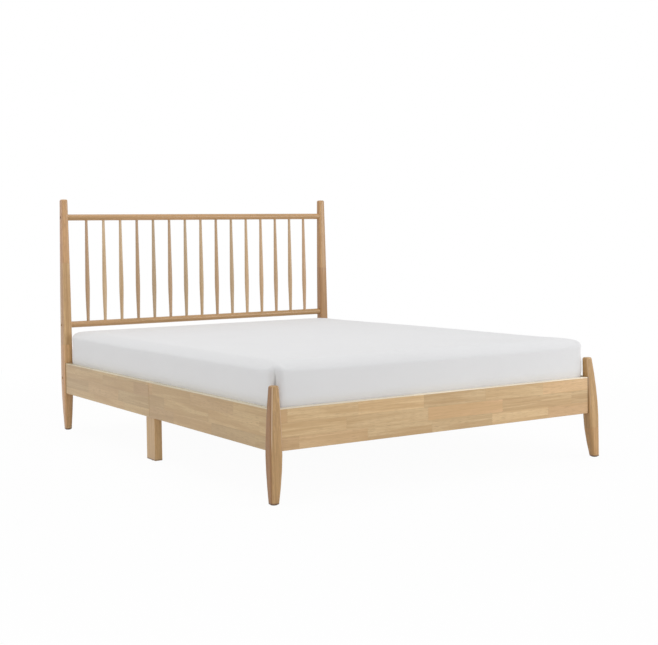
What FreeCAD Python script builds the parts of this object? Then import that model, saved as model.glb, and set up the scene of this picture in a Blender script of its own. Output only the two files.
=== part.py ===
import FreeCAD, Part
import math
import os
import re
import Sketcher

# A wooden spindle-back bed with its slatted base and mattress.
# X runs across the bed, +Y from foot to head, +Z up; the origin is on the floor under the middle of the bed.

# Driving dimensions in millimetres, kept in the document's sheet
SIZES = {
    # Mattress and the play left round it
    "mattress_width": 1540,
    "mattress_length": 2040,
    "mattress_height": 247,
    "mattress_gap": 5,
    "mattress_corner": 36,
    "mattress_top_edge": 34,
    "mattress_bottom_edge": 14,
    "mattress_crown": 5,
    "mattress_waist": 4,
    "rest_gap": 0.3,
    # Side rails, footboard and lower headboard panel
    "rail_thickness": 25,
    "rail_height": 154,
    "rail_lift": 188,
    "rail_round": 3,
    "seam_round": 2,
    "seam_gap": 0.8,
    "well_depth": 85,
    "housing": 4,
    "fit_gap": 0.15,
    "tenon_length": 16,
    "tenon_thickness": 12,
    "tenon_shoulder": 20,
    # Foot posts, whose feet splay outwards
    "foot_post_side": 51,
    "foot_post_top_side": 34,
    "foot_post_foot_side": 34,
    "foot_post_height": 424,
    "foot_post_swell": 175,
    # Head posts, which stand upright and a little further in
    "head_post_side": 51,
    "head_post_top_side": 36,
    "head_post_foot_side": 33,
    "head_post_rise": 92,
    "head_post_swell": 250,
    "head_post_inset": 5,
    # Forms that both kinds of post share
    "post_corner": 11.5,
    "post_dome": 8,
    "glide_height": 3,
    "glide_radius": 13,
    # Round headboard bars and the spindles between them
    "bar_diameter": 32,
    "top_bar_height": 1085,
    "bottom_bar_height": 536,
    "bar_stop": 8,
    "spindle_end_gap": 121,
    "spindle_belly_diameter": 23,
    "spindle_top_diameter": 13.5,
    "spindle_foot_diameter": 15,
    "spindle_mortise": 18,
    "spindle_play": 0.5,
    # Slatted base
    "slat_width": 72,
    "slat_thickness": 18,
    "slat_end_gap": 4,
    "slat_round": 4,
    "ribbon_width": 30,
    "ribbon_thickness": 1.2,
    "ribbon_spread": 420,
    "cleat_height": 40,
    "cleat_thickness": 22,
    "cleat_gap": 3,
    "beam_height": 48,
    "beam_thickness": 35,
    "hanger_plate": 2.5,
    "hanger_reach": 45,
    "hanger_flange": 22,
    "hanger_lip": 34,
    # Legs under the seams of the side rails and of the beam
    "mid_leg_width": 85,
    "mid_leg_depth": 34,
    "mid_leg_inset": 5,
    "mid_leg_round": 2,
    "leg_head_gap": 4,
    "centre_leg_width": 70,
    "centre_leg_length": 60,
    # Fasteners
    "stud_diameter": 8,
    "stud_grip": 28,
    "stud_tail": 3,
    "nut_across": 13,
    "nut_height": 6.5,
    "washer_flat": 6,
    "washer_width": 14,
    "pocket_diameter": 26,
    "pocket_depth": 20,
    "pocket_setback": 42,
    "bolt_diameter": 8,
    "bolt_length": 60,
    "bolt_head_diameter": 13,
    "bolt_head_height": 6,
    "bolt_head_stop": 10.75,
    "bolt_end_gap": 2,
    "leg_bolt_length": 28,
    "leg_bolt_offset": 24,
    # How far a cut runs past the face it opens
    "overrun": 5,
}

# Places that follow from the driving dimensions
DERIVED = {
    "inner_width": "mattress_width + 2 * mattress_gap",
    "inner_length": "mattress_length + 2 * mattress_gap",
    "post_x": "(inner_width + rail_thickness) / 2",
    "head_x": "post_x - head_post_inset",
    "head_post_height": "top_bar_height + head_post_rise",
    "axis_span": "inner_length + rail_thickness",
    "foot_y": "(foot_post_side / 2 - axis_span - head_post_side / 2) / 2",
    "head_y": "foot_y + axis_span",
    "panel_mid_y": "(foot_y + head_y) / 2",
    "well_start": "foot_y + rail_thickness / 2",
    "well_end": "head_y - rail_thickness / 2",
    "rail_top": "rail_lift + rail_height",
    "rail_outer": "inner_width / 2 + rail_thickness",
    "rail_start": "foot_y + foot_post_side / 2 - housing",
    "rail_end": "head_y - head_post_side / 2 + housing",
    "seam_y": "(rail_start + rail_end) / 2",
    "rail_half": "(rail_end - rail_start - seam_gap) / 2",
    "slat_top": "rail_top - well_depth",
    "slat_floor": "slat_top - slat_thickness",
    "beam_floor": "slat_floor - beam_height",
    "leg_head": "slat_floor - leg_head_gap",
    "leg_bolt_z": "(rail_lift + leg_head) / 2",
    "leg_shelf": "rail_thickness - mid_leg_inset",
    "bar_length": "2 * (head_x - bar_stop)",
    "bar_radius": "bar_diameter / 2",
    "spindle_floor": "bottom_bar_height + bar_radius - spindle_mortise",
    "spindle_length": "top_bar_height - bottom_bar_height - bar_diameter + 2 * spindle_mortise - spindle_play",
    "spindle_span": "2 * (head_x - spindle_end_gap)",
    "bolt_reach": "bolt_length - bar_stop - bolt_head_stop + bolt_end_gap",
    "cleat_setback": "pocket_setback + pocket_diameter / 2 + cleat_gap",
}

SPINDLE_COUNT = 15
SLAT_COUNT = 14

# Stations of a post between its swell, 0, and its foot, -1, or the foot of its dome, 1
POST_STATION_SHARES = (-1, -0.67, -0.33, 0, 0.25, 0.5, 0.75, 1)
POST_SWELL_POWER_SHARE = 1.6
DOME_STEPS = 3

# Heights of the studs as shares of the rail's height
STUD_SHARES = (0.3, 0.8)
# A spindle's stations: share of its length, and share of the way from its end's radius to its belly's
SPINDLE_BELLY_SHARES = ((0.27, 0.92), (0.33, 1), (0.42, 0.93))
# The mattress's levels as shares of its bottom edge, and of its top edge: rise and draw
EDGE_ROLL_SHARES = ((0, 1), (0.3, 0.3), (1, 0))
# The crown: rise share, and the share of the half width that it draws in
CROWN_SHARES = ((0.6, 0.2), (1, 0.55))

doc = FreeCAD.newDocument("Bed")
sheet = doc.addObject("Spreadsheet::Sheet", "Sizes")
parts = []


def formula(text):
    """The sheet expression for a formula in which sizes and derived places have their bare names."""

    def full_name(match):
        word = match.group(0)
        if word in DERIVED:
            return "(" + formula(DERIVED[word]) + ")"
        return "Sizes." + word if word in SIZES else word

    return re.sub(r"[a-z][a-z_]*", full_name, str(text))


def number(text):
    """The present value of a formula."""
    return float(sheet.evalExpression(formula(text)))


def bind(item, **formulas):
    """Binds properties of a document object to formulas."""
    for name, text in formulas.items():
        item.setExpression(name, formula(text))


def place(item, x, y, z):
    """Stands an object at a point given by three formulas."""
    for axis, text in zip("xyz", (x, y, z)):
        item.setExpression("Placement.Base." + axis, formula(text))


def sub_part(item, label):
    """Lists an object as one of the bed's pieces."""
    item.Label = label
    parts.append(item)
    return item


def new_body(label, at=("0", "0", "0")):
    """An empty body for one piece, standing at a point."""
    body = sub_part(doc.addObject("PartDesign::Body", "Body_" + label), label)
    place(body, *at)
    return body


def mirrored(source, label, normal, base_y="0"):
    """The mirror image of a piece about an upright plane."""
    twin = sub_part(doc.addObject("Part::Mirroring", "Mirror_" + label), label)
    twin.Source = source
    twin.Normal = normal
    twin.setExpression("Base.y", formula(base_y))
    return twin


def new_sketch(body, plane, offset="0"):
    """A sketch on one of the body's origin planes, moved along that plane's axis."""
    sketch = body.newObject("Sketcher::SketchObject", body.Name + "_" + plane)
    support = next(feature for feature in body.Origin.OriginFeatures if feature.Role == plane)
    sketch.AttachmentSupport = (support, [""])
    sketch.MapMode = "FlatFace"
    sign = -1 if plane == "XZ_Plane" else 1
    sketch.setExpression("AttachmentOffset.Base.z", formula(f"{sign} * ({offset})"))
    return sketch


def hold(sketch, kind, geometry, point, text):
    """Binds one coordinate of a sketch point to a formula."""
    rule = Sketcher.Constraint(kind, -1, 1, geometry, point, number(text))
    index = sketch.addConstraint(rule)
    sketch.setExpression(f"Constraints[{index}]", formula(text))


def hold_radius(sketch, geometry, text):
    """Binds the radius of a sketch circle or arc to a formula."""
    index = sketch.addConstraint(Sketcher.Constraint("Radius", geometry, number(text)))
    sketch.setExpression(f"Constraints[{index}]", formula(text))


def outline(sketch, corners):
    """A closed outline of straight edges, each corner held by two formulas."""
    first = sketch.GeometryCount
    points = [FreeCAD.Vector(number(x), number(y), 0) for x, y in corners]
    for start, end in zip(points, points[1:] + points[:1]):
        sketch.addGeometry(Part.LineSegment(start, end), False)
    for side in range(len(corners)):
        follower = first + (side + 1) % len(corners)
        sketch.addConstraint(Sketcher.Constraint("Coincident", first + side, 2, follower, 1))
    for side, (x, y) in enumerate(corners):
        hold(sketch, "DistanceX", first + side, 1, x)
        hold(sketch, "DistanceY", first + side, 1, y)
    return sketch


def rectangle(sketch, left, low, right, high):
    """An upright rectangle between two corners."""
    return outline(sketch, ((left, low), (right, low), (right, high), (left, high)))


def circle(sketch, x, y, radius):
    """A circle held at its centre."""
    index = sketch.GeometryCount
    centre = FreeCAD.Vector(number(x), number(y), 0)
    sketch.addGeometry(Part.Circle(centre, FreeCAD.Vector(0, 0, 1), number(radius)), False)
    hold(sketch, "DistanceX", index, 3, x)
    hold(sketch, "DistanceY", index, 3, y)
    hold_radius(sketch, index, radius)
    return sketch


def rounded_rectangle(sketch, left, front, right, back, radius):
    """A rectangle whose corners are arcs of one radius: four sides, each followed by its corner."""
    x0, y0, x1, y1, r = (number(text) for text in (left, front, right, back, radius))
    centres = ((x1 - r, y0 + r), (x1 - r, y1 - r), (x0 + r, y1 - r), (x0 + r, y0 + r))
    starts = ((x0 + r, y0), (x1, y0 + r), (x1 - r, y1), (x0, y1 - r))
    ends = ((x1 - r, y0), (x1, y1 - r), (x0 + r, y1), (x0, y0 + r))
    up = FreeCAD.Vector(0, 0, 1)
    for side in range(4):
        line = Part.LineSegment(FreeCAD.Vector(*starts[side], 0), FreeCAD.Vector(*ends[side], 0))
        sketch.addGeometry(line, False)
        ring = Part.Circle(FreeCAD.Vector(*centres[side], 0), up, r)
        quarter = math.pi / 2
        sketch.addGeometry(Part.ArcOfCircle(ring, (side - 1) * quarter, side * quarter), False)
    for piece in range(8):
        sketch.addConstraint(Sketcher.Constraint("Tangent", piece, 2, (piece + 1) % 8, 1))
    for side, direction in enumerate(("Horizontal", "Vertical", "Horizontal", "Vertical")):
        sketch.addConstraint(Sketcher.Constraint(direction, 2 * side))
    for corner in (3, 5, 7):
        sketch.addConstraint(Sketcher.Constraint("Equal", 1, corner))
    hold_radius(sketch, 1, radius)
    hold(sketch, "DistanceY", 0, 1, front)
    hold(sketch, "DistanceX", 2, 1, right)
    hold(sketch, "DistanceY", 4, 1, back)
    hold(sketch, "DistanceX", 6, 1, left)
    return sketch


def grow(body, kind, sketch, length, backwards=False):
    """A pad or pocket of the sketch through a length."""
    feature = body.newObject("PartDesign::" + kind, body.Name + "_" + kind)
    feature.Profile = sketch
    feature.Reversed = backwards
    bind(feature, Length=length)
    return feature


def pad(body, sketch, length, backwards=False):
    return grow(body, "Pad", sketch, length, backwards)


def pocket(body, sketch, length, backwards=False):
    return grow(body, "Pocket", sketch, length, backwards)


def loft(body, sections):
    """A ruled loft through the sections, from the lowest up."""
    feature = body.newObject("PartDesign::AdditiveLoft", body.Name + "_Loft")
    feature.Profile = sections[0]
    feature.Sections = sections[1:]
    feature.Ruled = True
    return feature


def round_edges(body, radius, wanted):
    """Rounds the edges of the body so far that the test picks by their boxes."""
    doc.recompute()
    base = body.Tip
    names = [f"Edge{i}" for i, edge in enumerate(base.Shape.Edges, 1) if wanted(edge.BoundBox)]
    feature = body.newObject("PartDesign::Fillet", body.Name + "_Fillet")
    feature.Base = (base, names)
    bind(feature, Radius=radius)
    return feature


def board(label, at, length, width, thickness, along):
    """A plain board: its length runs along X or Y, its thickness along the other, its width up."""
    body = new_body(label, at)
    if along == "X":
        pad(body, rectangle(new_sketch(body, "YZ_Plane"), "0", "0", thickness, width), length)
    else:
        pad(body, rectangle(new_sketch(body, "XZ_Plane"), "0", "0", thickness, width), length, True)
    return body


def long_edges(axis, length):
    """A test that picks straight edges of a length along an axis."""
    wanted = number(length)
    return lambda box: abs(getattr(box, axis + "Length") - wanted) < wanted / 1000


def group(label, master, places):
    """One node of loose copies of a master piece, each turned and then set at its place."""
    item = sub_part(doc.addObject("Part::Feature", "Group_" + label), label)
    copies = []
    for point, rotation in places:
        copy = master.Shape.copy()
        copy.Placement = FreeCAD.Placement(FreeCAD.Vector(*(number(text) for text in point)), rotation)
        copies.append(copy)
    item.Shape = Part.makeCompound(copies)
    return item


def post_sections(body, kind, leaning):
    """Rounded squares up a post, which swells and then draws in to both ends.

    A leaning post keeps its outer faces plumb below the swell and its inner faces plumb above it.
    """
    sections = []
    for station in POST_STATION_SHARES:
        draw_share = abs(station) ** POST_SWELL_POWER_SHARE
        if station < 0:
            height = f"{kind}_swell + {station} * ({kind}_swell - glide_height)"
            draw = f"({kind}_side - {kind}_foot_side) * {draw_share}"
            low, high = ("0", f"{kind}_side - {draw}")
        else:
            height = f"{kind}_swell + {station} * ({kind}_height - post_dome - {kind}_swell)"
            draw = f"({kind}_side - {kind}_top_side) * {draw_share}"
            low, high = (draw, f"{kind}_side")
        if not leaning:
            low, high = (f"{draw} / 2", f"{kind}_side - {draw} / 2")
        sketch = new_sketch(body, "XY_Plane", height)
        sections.append(rounded_rectangle(sketch, low, low, high, high, "post_corner"))
    for step in range(1, DOME_STEPS + 1):
        angle = math.pi / 2 * step / DOME_STEPS
        inset = f"post_dome * {1 - math.cos(angle):.4f}"
        height = f"{kind}_height - post_dome * {1 - math.sin(angle):.4f}"
        edges = (f"{low} + {inset}", f"{high} - {inset}")
        sketch = new_sketch(body, "XY_Plane", height)
        corner = f"post_corner - {inset}"
        sections.append(rounded_rectangle(sketch, edges[0], edges[0], edges[1], edges[1], corner))
    return sections


def rail_seat(sketch, middle):
    """The outline of a rail's end, with its clearance, about a line up the middle of a post's face."""
    half = "(rail_thickness / 2 + fit_gap)"
    return rectangle(sketch, f"{middle} - {half}", "rail_lift - fit_gap", f"{middle} + {half}", "rail_top + fit_gap")


def stud_circles(sketch, across, base, extra):
    """Circles for a joint's two studs, one above the other."""
    for share in STUD_SHARES:
        circle(sketch, across, f"{base} + rail_height * {share}", f"stud_diameter / 2 + {extra}")
    return sketch


def make_foot_post():
    body = new_body("foot_post_left", ("-post_x - foot_post_side / 2", "foot_y - foot_post_side / 2", "0"))
    loft(body, post_sections(body, "foot_post", True))
    seat = "foot_post_side - housing"
    middle = "foot_post_side / 2"
    # Seats for the side rail behind and the footboard inside, with the footboard's mortise
    pocket(body, rail_seat(new_sketch(body, "XZ_Plane", seat), middle), "housing + overrun")
    pocket(body, rail_seat(new_sketch(body, "YZ_Plane", seat), middle), "housing + overrun", True)
    half = "(tenon_thickness / 2 + fit_gap)"
    low = "rail_lift + tenon_shoulder - fit_gap"
    high = "rail_top - tenon_shoulder + fit_gap"
    mortise = new_sketch(body, "YZ_Plane", seat + " - tenon_length - fit_gap")
    rectangle(mortise, f"{middle} - {half}", low, f"{middle} + {half}", high)
    pocket(body, mortise, "tenon_length + overrun", True)
    studs = stud_circles(new_sketch(body, "XZ_Plane", seat + " - stud_grip"), middle, "rail_lift", "fit_gap")
    pocket(body, studs, "stud_grip + overrun")
    mirrored(body, "foot_post_right", (1, 0, 0))


def make_head_post():
    body = new_body("head_post_left", ("-head_x - head_post_side / 2", "head_y - head_post_side / 2", "0"))
    loft(body, post_sections(body, "head_post", False))
    middle = "head_post_side / 2"
    rail_middle = "(head_post_side / 2 - head_post_inset)"
    seat = "head_post_side - housing"
    # Seats for the side rail in front and the lower panel inside
    pocket(body, rail_seat(new_sketch(body, "XZ_Plane", "housing"), rail_middle), "housing + overrun", True)
    pocket(body, rail_seat(new_sketch(body, "YZ_Plane", seat), middle), "housing + overrun", True)
    studs = new_sketch(body, "XZ_Plane", "housing + stud_grip")
    stud_circles(studs, rail_middle, "rail_lift", "fit_gap")
    pocket(body, studs, "housing + stud_grip + overrun", True)
    # Sockets for the round bars, and a bolt hole with a head recess at each bar and at the panel
    sockets = new_sketch(body, "YZ_Plane", middle + " + bar_stop")
    for height in ("top_bar_height", "bottom_bar_height"):
        circle(sockets, middle, height, "bar_radius + fit_gap")
    pocket(body, sockets, "head_post_side", True)
    holes = new_sketch(body, "YZ_Plane", "head_post_side + overrun")
    recesses = new_sketch(body, "YZ_Plane", middle + " - bolt_head_stop")
    for height in BOLT_HEIGHTS:
        circle(holes, middle, height, "bolt_diameter / 2 + fit_gap")
        circle(recesses, middle, height, "bolt_head_diameter / 2 + fit_gap")
    pocket(body, holes, "head_post_side + 2 * overrun")
    pocket(body, recesses, "head_post_side")
    mirrored(body, "head_post_right", (1, 0, 0))


BOLT_HEIGHTS = ("top_bar_height", "bottom_bar_height", "rail_lift + rail_height / 2")


def make_footboard():
    """The footboard panel, with a stub tenon the whole way through its length."""
    length = "2 * (post_x - foot_post_side / 2 + housing)"
    at = (f"-({length}) / 2", "well_start - rail_thickness", "rail_lift")
    body = board("footboard_panel", at, length, "rail_height", "rail_thickness", "X")
    round_edges(body, "rail_round", long_edges("X", length))
    tenon = new_sketch(body, "YZ_Plane", "-tenon_length")
    low = "rail_thickness / 2 - tenon_thickness / 2"
    high = "rail_thickness / 2 + tenon_thickness / 2"
    rectangle(tenon, low, "tenon_shoulder", high, "rail_height - tenon_shoulder")
    pad(body, tenon, f"{length} + 2 * tenon_length")


def end_holes(body, length, y, z):
    """A bolt hole in each end of a piece that lies along X."""
    radius = "bolt_diameter / 2 + fit_gap"
    pocket(body, circle(new_sketch(body, "YZ_Plane", "bolt_reach"), y, z, radius), "bolt_reach + overrun")
    far = circle(new_sketch(body, "YZ_Plane", f"{length} - bolt_reach"), y, z, radius)
    pocket(body, far, "bolt_reach + overrun", True)


def make_headboard_panel():
    """The lower headboard panel, behind the mattress."""
    length = "2 * (head_x - head_post_side / 2 + housing)"
    at = (f"-({length}) / 2", "well_end", "rail_lift")
    body = board("headboard_lower_panel", at, length, "rail_height", "rail_thickness", "X")
    round_edges(body, "rail_round", long_edges("X", length))
    end_holes(body, length, "rail_thickness / 2", "rail_height / 2")


def make_bar(label, height, mortise_side):
    """A round headboard bar with a row of blind mortises, on its underside (-1) or its top (1)."""
    body = new_body(label, ("-bar_length / 2", "head_y", height))
    pad(body, circle(new_sketch(body, "YZ_Plane"), "0", "0", "bar_radius"), "bar_length")
    end_holes(body, "bar_length", "0", "0")
    floor = new_sketch(body, "XY_Plane", f"{mortise_side} * (bar_radius - spindle_mortise)")
    end = "spindle_top" if mortise_side < 0 else "spindle_foot"
    circle(floor, "spindle_end_gap - bar_stop", "0", f"{end}_diameter / 2 + fit_gap")
    hole = pocket(body, floor, "bar_diameter", mortise_side > 0)
    row = body.newObject("PartDesign::LinearPattern", body.Name + "_Row")
    row.Originals = [hole]
    row.Direction = (floor, ["H_Axis"])
    row.Occurrences = SPINDLE_COUNT
    bind(row, Length="spindle_span")
    body.Tip = row


def make_spindles():
    """Turned spindles: a straight stub at each end, a taper up from the foot, a belly and a long taper."""
    for count in range(SPINDLE_COUNT):
        x = f"spindle_span * {count / (SPINDLE_COUNT - 1) - 0.5}"
        body = new_body(f"spindle_{count + 1:02d}", (x, "head_y", "spindle_floor"))
        foot = "spindle_foot_diameter / 2"
        top = "spindle_top_diameter / 2"
        shown = "(spindle_length - 2 * spindle_mortise)"
        profile = [("0", "0"), (foot, "0"), (foot, "spindle_mortise")]
        belly_share = SPINDLE_BELLY_SHARES[1][0]
        for share, swell in SPINDLE_BELLY_SHARES:
            end = foot if share <= belly_share else top
            radius = f"{end} + {swell} * (spindle_belly_diameter / 2 - {end})"
            profile.append((radius, f"spindle_mortise + {share} * {shown}"))
        profile += [(top, "spindle_length - spindle_mortise"), (top, "spindle_length"), ("0", "spindle_length")]
        sketch = outline(new_sketch(body, "XZ_Plane"), profile)
        turned = body.newObject("PartDesign::Revolution", body.Name + "_Revolution")
        turned.Profile = sketch
        turned.ReferenceAxis = (sketch, ["V_Axis"])
        turned.Angle = 360


def make_side_rails():
    """Half side rails, which meet over the mid legs; each has two stud holes with nut pockets."""
    at = ("-rail_outer", "rail_start", "rail_lift")
    body = board("side_rail_left_foot", at, "rail_half", "rail_height", "rail_thickness", "Y")
    round_edges(body, "rail_round", long_edges("Y", "rail_half"))
    near_seam = number("rail_half") - number("seam_round")
    round_edges(body, "seam_round", lambda edge: edge.YMin > near_seam)
    middle = "rail_thickness / 2"
    pocket(body, stud_circles(new_sketch(body, "XZ_Plane"), middle, "0", "fit_gap"), "pocket_setback")
    pockets = new_sketch(body, "YZ_Plane", "rail_thickness - pocket_depth")
    for share in STUD_SHARES:
        circle(pockets, "pocket_setback", f"rail_height * {share}", "pocket_diameter / 2")
    pocket(body, pockets, "pocket_depth + overrun", True)
    insert = "leg_bolt_length - mid_leg_depth + leg_shelf"
    hole = new_sketch(body, "YZ_Plane", f"rail_thickness - ({insert} + bolt_end_gap)")
    across = "rail_half + seam_gap / 2 - leg_bolt_offset"
    circle(hole, across, "leg_bolt_z - rail_lift", "bolt_diameter / 2 + fit_gap")
    pocket(body, hole, f"{insert} + bolt_end_gap + overrun", True)
    twin = mirrored(body, "side_rail_left_head", (0, 1, 0), "seam_y")
    mirrored(body, "side_rail_right_foot", (1, 0, 0))
    mirrored(twin, "side_rail_right_head", (1, 0, 0))


def make_mid_legs():
    """Legs under the rail seams: the rails stand on a shelf, in front of a tongue that is bolted to both."""
    at = ("-rail_outer + mid_leg_inset", "seam_y - mid_leg_width / 2", "0")
    body = new_body("mid_leg_left", at)
    profile = (
        ("0", "glide_height"),
        ("mid_leg_depth", "glide_height"),
        ("mid_leg_depth", "leg_head"),
        ("leg_shelf", "leg_head"),
        ("leg_shelf", "rail_lift"),
        ("0", "rail_lift"),
    )
    pad(body, outline(new_sketch(body, "XZ_Plane"), profile), "mid_leg_width", True)
    shown = long_edges("Z", "rail_lift - glide_height")
    round_edges(body, "mid_leg_round", shown)
    holes = new_sketch(body, "YZ_Plane", "mid_leg_depth")
    for sign in "-+":
        circle(holes, f"mid_leg_width / 2 {sign} leg_bolt_offset", "leg_bolt_z", "bolt_diameter / 2 + fit_gap")
    pocket(body, holes, "mid_leg_depth - leg_shelf + overrun")
    mirrored(body, "mid_leg_right", (1, 0, 0))


def box(label, at, length, width, height):
    """A plain block."""
    item = sub_part(doc.addObject("Part::Box", "Box_" + label), label)
    bind(item, Length=length, Width=width, Height=height)
    place(item, *at)
    return item


def make_cleats():
    """Strips on the inside of the side rails, on which the slats lie."""
    start = "rail_start + cleat_setback"
    end = "seam_y - mid_leg_width / 2 - fit_gap"
    at = ("-inner_width / 2", start, "slat_floor - cleat_height")
    cleat = box("slat_cleat_left_foot", at, "cleat_thickness", f"{end} - ({start})", "cleat_height")
    twin = mirrored(cleat, "slat_cleat_left_head", (0, 1, 0), "seam_y")
    mirrored(cleat, "slat_cleat_right_foot", (1, 0, 0))
    mirrored(twin, "slat_cleat_right_head", (1, 0, 0))


def make_slats():
    length = "inner_width - 2 * slat_end_gap"
    pitch = f"inner_length / {SLAT_COUNT}"
    for count in range(SLAT_COUNT):
        y = f"well_start + {pitch} * {count + 0.5} - slat_width / 2"
        at = ("slat_end_gap - inner_width / 2", y, "slat_floor")
        body = board(f"slat_{count + 1:02d}", at, length, "slat_thickness", "slat_width", "X")
        runs_along = long_edges("X", length)
        upper = number("slat_thickness") / 2
        round_edges(body, "slat_round", lambda edge: runs_along(edge) and edge.ZMin > upper)
    # Two ribbons under the slats keep their spacing
    ribbon = doc.addObject("Part::Box", "ribbon")
    run = f"inner_length - {pitch} + slat_width"
    bind(ribbon, Length="ribbon_width", Width=run, Height="ribbon_thickness")
    doc.recompute()
    start = f"well_start + {pitch} / 2 - slat_width / 2"
    rows = [f"{sign} ribbon_spread - ribbon_width / 2" for sign in "-+"]
    level = "slat_floor - ribbon_thickness"
    group("slat_ribbons", ribbon, [((x, start, level), FreeCAD.Rotation()) for x in rows])


def make_beam():
    """The beam under the slats, in two halves that hang at the ends and sit in the centre leg's fork."""
    start = "well_start + hanger_plate + fit_gap"
    end = "well_end - hanger_plate - fit_gap"
    middle_start = "seam_y - seam_gap / 2"
    middle_end = "seam_y + seam_gap / 2"
    x = "-beam_thickness / 2"
    size = "beam_thickness"
    box("centre_beam_foot", (x, start, "beam_floor"), size, f"{middle_start} - ({start})", "beam_height")
    box("centre_beam_head", (x, middle_end, "beam_floor"), size, f"{end} - ({middle_end})", "beam_height")


def make_hangers():
    """Folded steel hangers on both panels: a back plate and a channel that takes the beam's end."""
    body = new_body("beam_hanger_foot", ("0", "well_start", "0"))
    inner = "(beam_thickness / 2 + fit_gap)"
    outer = f"({inner} + hanger_plate)"
    floor = "beam_floor - hanger_plate"
    lip = "beam_floor + hanger_lip"
    channel = (
        (f"-{outer}", floor),
        (outer, floor),
        (outer, lip),
        (inner, lip),
        (inner, "beam_floor"),
        (f"-{inner}", "beam_floor"),
        (f"-{inner}", lip),
        (f"-{outer}", lip),
    )
    pad(body, outline(new_sketch(body, "XZ_Plane"), channel), "hanger_reach", True)
    plate = new_sketch(body, "XZ_Plane")
    rectangle(plate, f"-{outer} - hanger_flange", floor, f"{outer} + hanger_flange", lip)
    pad(body, plate, "hanger_plate", True)
    mirrored(body, "beam_hanger_head", (0, 1, 0), "panel_mid_y")


def make_centre_leg():
    """The forked leg under the joint of the two beam halves."""
    body = new_body("centre_leg", ("0", "seam_y - centre_leg_length / 2", "0"))
    half = "centre_leg_width / 2"
    slot = "(beam_thickness / 2 + fit_gap)"
    profile = (
        (f"-{half}", "glide_height"),
        (half, "glide_height"),
        (half, "leg_head"),
        (slot, "leg_head"),
        (slot, "beam_floor"),
        (f"-{slot}", "beam_floor"),
        (f"-{slot}", "leg_head"),
        (f"-{half}", "leg_head"),
    )
    pad(body, outline(new_sketch(body, "XZ_Plane"), profile), "centre_leg_length", True)


def make_mattress():
    """A ruled loft: rolled bottom edge, sides drawn in at the waist, rolled top edge and a low crown."""
    at = ("0", "well_start + mattress_gap + mattress_length / 2", "slat_top + rest_gap")
    body = new_body("mattress", at)
    shoulder = "mattress_height - mattress_crown"
    levels = []
    for rise, draw in EDGE_ROLL_SHARES:
        levels.append((f"mattress_bottom_edge * {rise}", f"mattress_bottom_edge * {draw}"))
    levels.append(("mattress_height / 2", "mattress_waist"))
    for rise, draw in reversed(EDGE_ROLL_SHARES):
        levels.append((f"{shoulder} - mattress_top_edge * {rise}", f"mattress_top_edge * {draw}"))
    for rise, draw in CROWN_SHARES:
        inset = f"mattress_top_edge + (mattress_width / 2 - mattress_top_edge) * {draw}"
        levels.append((f"{shoulder} + mattress_crown * {rise}", inset))
    sections = []
    for height, inset in levels:
        x = f"mattress_width / 2 - ({inset})"
        y = f"mattress_length / 2 - ({inset})"
        corner = f"mattress_corner - min(mattress_top_edge; {inset})"
        sketch = new_sketch(body, "XY_Plane", height)
        sections.append(rounded_rectangle(sketch, f"-({x})", f"-({y})", x, y, corner))
    loft(body, sections)


def cylinder(name, radius, height):
    item = doc.addObject("Part::Cylinder", name)
    bind(item, Radius=radius, Height=height)
    return item


def bolt_master(name, length):
    """A bolt along +Z whose head ends at the origin."""
    shank = cylinder(name + "_shank", "bolt_diameter / 2", length)
    head = cylinder(name + "_head", "bolt_head_diameter / 2", "bolt_head_height")
    place(head, "0", "0", "-bolt_head_height")
    whole = doc.addObject("Part::Fuse", name)
    whole.Base = shank
    whole.Tool = head
    return whole


def stud_washer_master():
    """A crescent washer: a slice of the nut pocket with a flat for the nut, its hole along Z."""
    washer_round = cylinder("washer_round", "pocket_diameter / 2 - fit_gap", "washer_width")
    washer_round.Placement.Rotation = FreeCAD.Rotation(FreeCAD.Vector(0, 1, 0), 90)
    place(washer_round, "-washer_width / 2", "0", "0")
    slice_box = doc.addObject("Part::Box", "washer_slice")
    bind(slice_box, Length="washer_width", Width="pocket_diameter", Height="pocket_diameter")
    place(slice_box, "-washer_width / 2", "-pocket_diameter / 2", "-washer_flat - pocket_diameter")
    crescent = doc.addObject("Part::Common", "washer_crescent")
    crescent.Base = washer_round
    crescent.Tool = slice_box
    hole = cylinder("washer_hole", "stud_diameter / 2 + fit_gap", "pocket_diameter")
    place(hole, "0", "0", "-pocket_diameter")
    washer = doc.addObject("Part::Cut", "washer")
    washer.Base = crescent
    washer.Tool = hole
    return washer


def nut_master():
    """A hexagon nut standing on the washer's flat, its hole along Z."""
    prism = doc.addObject("Part::Prism", "nut_prism")
    prism.Polygon = 6
    bind(prism, Circumradius=f"nut_across / 2 / {math.cos(math.pi / 6)}", Height="nut_height")
    place(prism, "0", "0", "-washer_flat")
    hole = cylinder("nut_hole", "stud_diameter / 2 + fit_gap", "nut_height + 2 * overrun")
    place(hole, "0", "0", "-washer_flat - overrun")
    nut = doc.addObject("Part::Cut", "nut")
    nut.Base = prism
    nut.Tool = hole
    return nut


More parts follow.
